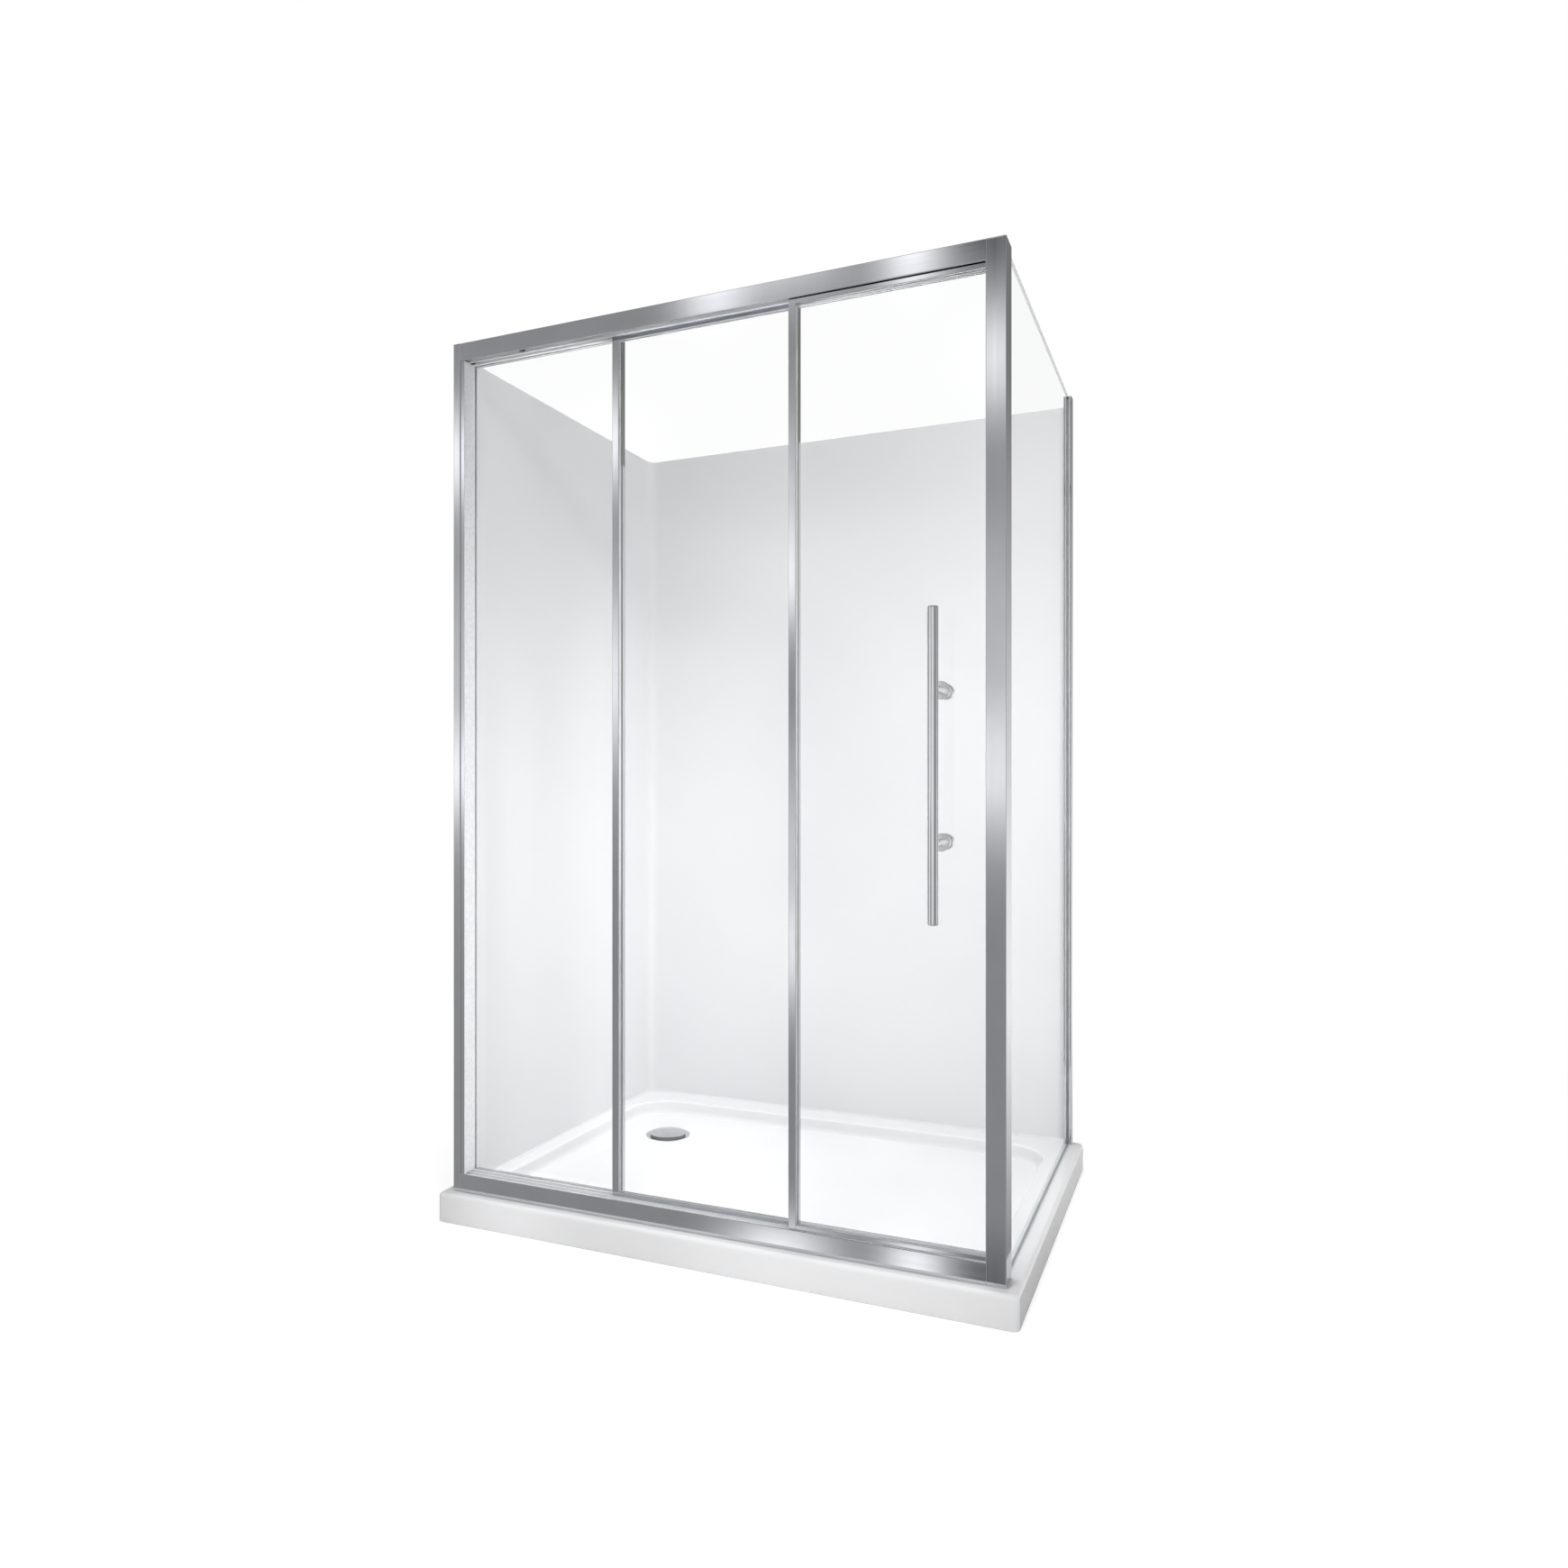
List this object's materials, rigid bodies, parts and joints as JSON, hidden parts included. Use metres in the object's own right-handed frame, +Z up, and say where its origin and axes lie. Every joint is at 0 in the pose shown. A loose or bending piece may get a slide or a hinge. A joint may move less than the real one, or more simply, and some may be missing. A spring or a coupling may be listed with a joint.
{
  "type": "shower enclosure with sliding door",
  "caption": "Corner shower enclosure: low tray with waste, two-wall liner, framed front with fixed and telescoping sliding glass panels, corner post, glass return panel and bar handle.",
  "frame": {"origin": "centre of the tray's 1200 x 900 mm footprint, on the floor", "axes": "+X along the front from the side wall to the corner post, +Y from the front to the back wall, +Z up"},
  "size_m": [1.2, 0.9407, 1.845],
  "materials": {
    "tray_acrylic": "gloss white acrylic-capped cast resin",
    "liner_acrylic": "gloss white moulded acrylic sheet",
    "silicone": "white sanitary silicone",
    "frame_profile": "bright polished anodised aluminium",
    "end_cap": "metallised plastic caps",
    "nylon": "natural nylon",
    "steel_hardware": "stainless steel",
    "door_glass": "clear toughened safety glass",
    "return_pane": "clear toughened safety glass",
    "glazing_gasket": "grey glazing vinyl",
    "clear_seal": "clear soft vinyl",
    "rubber_stop": "black rubber",
    "handle_chrome": "polished chrome",
    "waste_chrome": "polished chrome",
    "waste_plastic": "white polypropylene"
  },
  "bodies": {
    "enclosure": {"shower_tray": "tray_acrylic", "waste_flange": "waste_chrome", "waste_washer": "rubber_stop", "waste_body": "waste_plastic", "wall_liner": "liner_acrylic", "liner_sealant": "silicone", "head_rail": "frame_profile", "sill_rail": "frame_profile", "wall_channel": "frame_profile", "wall_channel_cap": "end_cap", "jamb_adjuster": "frame_profile", "corner_post": "frame_profile", "corner_post_cap": "end_cap", "frame_corner_blocks": "nylon", "frame_screws": "steel_hardware", "door_bumpers": "rubber_stop", "fixed_glass": "door_glass", "fixed_stile": "frame_profile", "fixed_gasket": "glazing_gasket", "return_glass": "return_pane", "return_wall_channel": "frame_profile", "return_channel_cap": "end_cap", "return_gasket": "glazing_gasket", "return_bottom_seal": "clear_seal"},
    "lead_door": {"lead_glass": "door_glass", "lead_left_stile": "frame_profile", "lead_right_stile": "frame_profile", "lead_top_rail": "frame_profile", "lead_bottom_rail": "frame_profile", "lead_gasket": "glazing_gasket", "lead_roller_brackets": "steel_hardware", "lead_roller_axles": "steel_hardware", "lead_guide_shoes": "nylon", "lead_panel_screws": "steel_hardware", "handle_bar": "handle_chrome", "handle_stems": "handle_chrome", "handle_rosettes": "handle_chrome", "handle_bushes": "clear_seal", "handle_knobs": "handle_chrome", "lead_closing_seal": "clear_seal"},
    "middle_door": {"middle_glass": "door_glass", "middle_left_stile": "frame_profile", "middle_right_stile": "frame_profile", "middle_top_rail": "frame_profile", "middle_bottom_rail": "frame_profile", "middle_gasket": "glazing_gasket", "middle_roller_brackets": "steel_hardware", "middle_roller_axles": "steel_hardware", "middle_guide_shoes": "nylon", "middle_panel_screws": "steel_hardware"},
    "lead_wheel_left": {"lead_roller_left": "nylon"},
    "lead_wheel_right": {"lead_roller_right": "nylon"},
    "middle_wheel_left": {"middle_roller_left": "nylon"},
    "middle_wheel_right": {"middle_roller_right": "nylon"},
    "waste_lid": {"waste_cover": "waste_chrome", "hair_strainer": "waste_plastic"}
  },
  "joints": [
    {"name": "lead_slide", "type": "slide", "parent": "enclosure", "child": "lead_door", "axis": [-1, 0, 0], "range_m": [0, 0.585]},
    {"name": "middle_slide", "type": "slide", "parent": "enclosure", "child": "middle_door", "axis": [-1, 0, 0], "range_m": [0, 0.34]},
    {"name": "lead_wheel_left_spin", "type": "hinge", "parent": "lead_door", "child": "lead_wheel_left", "pos_m": [0.2385, -0.41675, 1.8313], "axis": [0, -1, 0], "continuous": true},
    {"name": "lead_wheel_right_spin", "type": "hinge", "parent": "lead_door", "child": "lead_wheel_right", "pos_m": [0.4955, -0.41675, 1.8313], "axis": [0, -1, 0], "continuous": true},
    {"name": "middle_wheel_left_spin", "type": "hinge", "parent": "middle_door", "child": "middle_wheel_left", "pos_m": [-0.1425, -0.40175, 1.8313], "axis": [0, -1, 0], "continuous": true},
    {"name": "middle_wheel_right_spin", "type": "hinge", "parent": "middle_door", "child": "middle_wheel_right", "pos_m": [0.1335, -0.40175, 1.8313], "axis": [0, -1, 0], "continuous": true},
    {"name": "waste_lid_lift", "type": "slide", "parent": "enclosure", "child": "waste_lid", "axis": [0, 0, 1], "range_m": [0, 0.06]}
  ],
  "couplings": [
    {"joint": "middle_slide", "follows": "lead_slide", "ratio": 0.5811},
    {"joint": "lead_wheel_left_spin", "follows": "lead_slide", "rad_per_m": 125},
    {"joint": "lead_wheel_right_spin", "follows": "lead_slide", "rad_per_m": 125},
    {"joint": "middle_wheel_left_spin", "follows": "lead_slide", "rad_per_m": 72.638},
    {"joint": "middle_wheel_right_spin", "follows": "lead_slide", "rad_per_m": 72.638}
  ]
}
